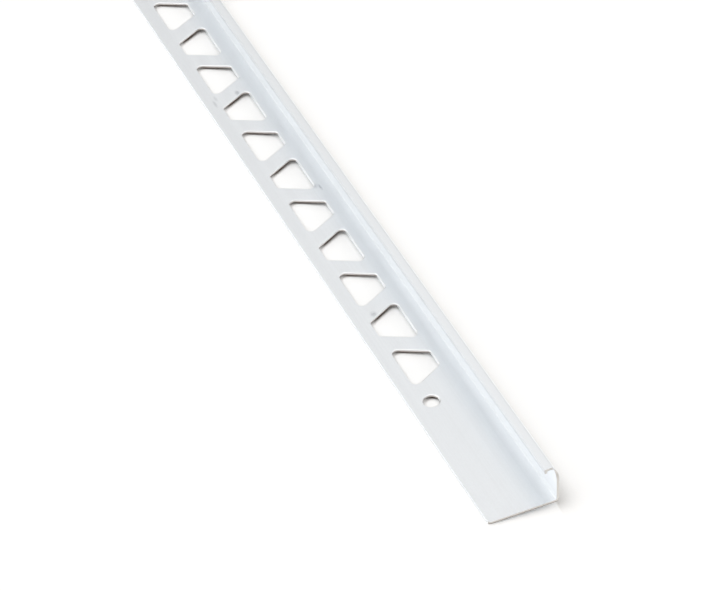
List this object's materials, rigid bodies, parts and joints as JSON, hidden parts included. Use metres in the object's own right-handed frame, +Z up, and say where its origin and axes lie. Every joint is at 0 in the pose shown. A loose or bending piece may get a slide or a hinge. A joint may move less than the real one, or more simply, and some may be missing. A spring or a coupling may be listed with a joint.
{
  "type": "corner bead",
  "caption": "Straight aluminium corner bead: a perforated fixing flange with an upright wall, whose top folds back over the flange and ends in a short lip.",
  "frame": {"origin": "middle of the bar's length and of its width, at the underside of the flange", "axes": "+X from the flange's free edge to the upright wall, +Y along the bar, +Z up from the flange to the fold at the top of the wall"},
  "size_m": [0.025, 2.5, 0.0125],
  "materials": {
    "aluminium": "satin mill finish, unpainted, with faint lines along the bar and a few light smudges"
  },
  "bodies": {
    "root": {"bead": "aluminium"}
  },
  "joints": []
}
